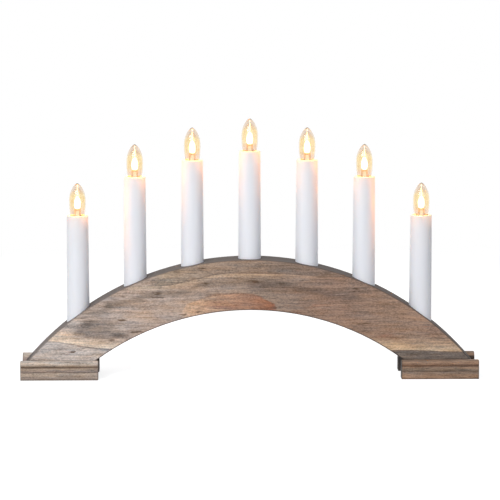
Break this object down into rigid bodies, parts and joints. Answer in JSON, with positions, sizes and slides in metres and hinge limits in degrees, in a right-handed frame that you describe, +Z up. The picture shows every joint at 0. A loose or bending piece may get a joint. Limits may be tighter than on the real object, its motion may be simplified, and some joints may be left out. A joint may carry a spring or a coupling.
{
  "type": "candle arch",
  "caption": "Free-standing electric candle arch: a stained wooden bow on moulded foot rails, with stepped white candle sleeves and screw-in LED candle bulbs.",
  "frame": {"origin": "on the floor under the middle of the arch", "axes": "+X to the right along the arch, the front faces -Y, +Z up"},
  "size_m": [0.42, 0.052, 0.2376],
  "materials": {
    "bow_wood": "matt grey-brown stain",
    "rail_wood": "matt grey-brown stain",
    "dowel_wood": "bare",
    "strip_wood": "matt grey-brown stain",
    "brad_steel": "zinc plated",
    "bush_plastic": "moulded",
    "lead_insulation": "satin",
    "contact_brass": "rolled",
    "sleeve_plastic": "satin",
    "holder_plastic": "moulded",
    "shell_brass": "rolled",
    "tip_insulator": "moulded",
    "cap_nickel": "nickel plated",
    "envelope_clear": "clear",
    "led_glow": "lit"
  },
  "bodies": {
    "arch": {"arch_board": "bow_wood", "left_front_foot_rail": "rail_wood", "left_rear_foot_rail": "rail_wood", "right_front_foot_rail": "rail_wood", "right_rear_foot_rail": "rail_wood", "foot_dowels": "dowel_wood", "cable_cover_strip": "strip_wood", "cover_strip_brads": "brad_steel", "cord_bush": "bush_plastic", "series_wires": "lead_insulation", "holder_contacts": "contact_brass", "candle_sleeve_1": "sleeve_plastic", "lamp_holder_1": "holder_plastic", "holder_shell_1": "shell_brass", "candle_sleeve_2": "sleeve_plastic", "lamp_holder_2": "holder_plastic", "holder_shell_2": "shell_brass", "candle_sleeve_3": "sleeve_plastic", "lamp_holder_3": "holder_plastic", "holder_shell_3": "shell_brass", "candle_sleeve_4": "sleeve_plastic", "lamp_holder_4": "holder_plastic", "holder_shell_4": "shell_brass", "candle_sleeve_5": "sleeve_plastic", "lamp_holder_5": "holder_plastic", "holder_shell_5": "shell_brass", "candle_sleeve_6": "sleeve_plastic", "lamp_holder_6": "holder_plastic", "holder_shell_6": "shell_brass", "candle_sleeve_7": "sleeve_plastic", "lamp_holder_7": "holder_plastic", "holder_shell_7": "shell_brass"},
    "bulb_1_tip": {"bulb_tip_1": "tip_insulator"},
    "bulb_1": {"bulb_cap_1": "cap_nickel", "bulb_envelope_1": "envelope_clear", "bulb_led_1": "led_glow"},
    "bulb_2_tip": {"bulb_tip_2": "tip_insulator"},
    "bulb_2": {"bulb_cap_2": "cap_nickel", "bulb_envelope_2": "envelope_clear", "bulb_led_2": "led_glow"},
    "bulb_3_tip": {"bulb_tip_3": "tip_insulator"},
    "bulb_3": {"bulb_cap_3": "cap_nickel", "bulb_envelope_3": "envelope_clear", "bulb_led_3": "led_glow"},
    "bulb_4_tip": {"bulb_tip_4": "tip_insulator"},
    "bulb_4": {"bulb_cap_4": "cap_nickel", "bulb_envelope_4": "envelope_clear", "bulb_led_4": "led_glow"},
    "bulb_5_tip": {"bulb_tip_5": "tip_insulator"},
    "bulb_5": {"bulb_cap_5": "cap_nickel", "bulb_envelope_5": "envelope_clear", "bulb_led_5": "led_glow"},
    "bulb_6_tip": {"bulb_tip_6": "tip_insulator"},
    "bulb_6": {"bulb_cap_6": "cap_nickel", "bulb_envelope_6": "envelope_clear", "bulb_led_6": "led_glow"},
    "bulb_7_tip": {"bulb_tip_7": "tip_insulator"},
    "bulb_7": {"bulb_cap_7": "cap_nickel", "bulb_envelope_7": "envelope_clear", "bulb_led_7": "led_glow"}
  },
  "joints": [
    {"name": "bulb_1_climb", "type": "slide", "parent": "arch", "child": "bulb_1_tip", "axis": [0, 0, 1], "range_m": [0, 0.00816]},
    {"name": "bulb_1_turn", "type": "hinge", "parent": "bulb_1_tip", "child": "bulb_1", "pos_m": [-0.1575, 0, 0.1], "axis": [0, 0, 1], "range_deg": [0, 1620]},
    {"name": "bulb_2_climb", "type": "slide", "parent": "arch", "child": "bulb_2_tip", "axis": [0, 0, 1], "range_m": [0, 0.00816]},
    {"name": "bulb_2_turn", "type": "hinge", "parent": "bulb_2_tip", "child": "bulb_2", "pos_m": [-0.105, 0, 0.1], "axis": [0, 0, 1], "range_deg": [0, 1620]},
    {"name": "bulb_3_climb", "type": "slide", "parent": "arch", "child": "bulb_3_tip", "axis": [0, 0, 1], "range_m": [0, 0.00816]},
    {"name": "bulb_3_turn", "type": "hinge", "parent": "bulb_3_tip", "child": "bulb_3", "pos_m": [-0.0525, 0, 0.1], "axis": [0, 0, 1], "range_deg": [0, 1620]},
    {"name": "bulb_4_climb", "type": "slide", "parent": "arch", "child": "bulb_4_tip", "axis": [0, 0, 1], "range_m": [0, 0.00816]},
    {"name": "bulb_4_turn", "type": "hinge", "parent": "bulb_4_tip", "child": "bulb_4", "pos_m": [0, 0, 0.1], "axis": [0, 0, 1], "range_deg": [0, 1620]},
    {"name": "bulb_5_climb", "type": "slide", "parent": "arch", "child": "bulb_5_tip", "axis": [0, 0, 1], "range_m": [0, 0.00816]},
    {"name": "bulb_5_turn", "type": "hinge", "parent": "bulb_5_tip", "child": "bulb_5", "pos_m": [0.0525, 0, 0.1], "axis": [0, 0, 1], "range_deg": [0, 1620]},
    {"name": "bulb_6_climb", "type": "slide", "parent": "arch", "child": "bulb_6_tip", "axis": [0, 0, 1], "range_m": [0, 0.00816]},
    {"name": "bulb_6_turn", "type": "hinge", "parent": "bulb_6_tip", "child": "bulb_6", "pos_m": [0.105, 0, 0.1], "axis": [0, 0, 1], "range_deg": [0, 1620]},
    {"name": "bulb_7_climb", "type": "slide", "parent": "arch", "child": "bulb_7_tip", "axis": [0, 0, 1], "range_m": [0, 0.00816]},
    {"name": "bulb_7_turn", "type": "hinge", "parent": "bulb_7_tip", "child": "bulb_7", "pos_m": [0.1575, 0, 0.1], "axis": [0, 0, 1], "range_deg": [0, 1620]}
  ],
  "couplings": [
    {"joint": "bulb_1_turn", "follows": "bulb_1_climb", "rad_per_m": 3463.7},
    {"joint": "bulb_2_turn", "follows": "bulb_2_climb", "rad_per_m": 3463.7},
    {"joint": "bulb_3_turn", "follows": "bulb_3_climb", "rad_per_m": 3463.7},
    {"joint": "bulb_4_turn", "follows": "bulb_4_climb", "rad_per_m": 3463.7},
    {"joint": "bulb_5_turn", "follows": "bulb_5_climb", "rad_per_m": 3463.7},
    {"joint": "bulb_6_turn", "follows": "bulb_6_climb", "rad_per_m": 3463.7},
    {"joint": "bulb_7_turn", "follows": "bulb_7_climb", "rad_per_m": 3463.7}
  ]
}
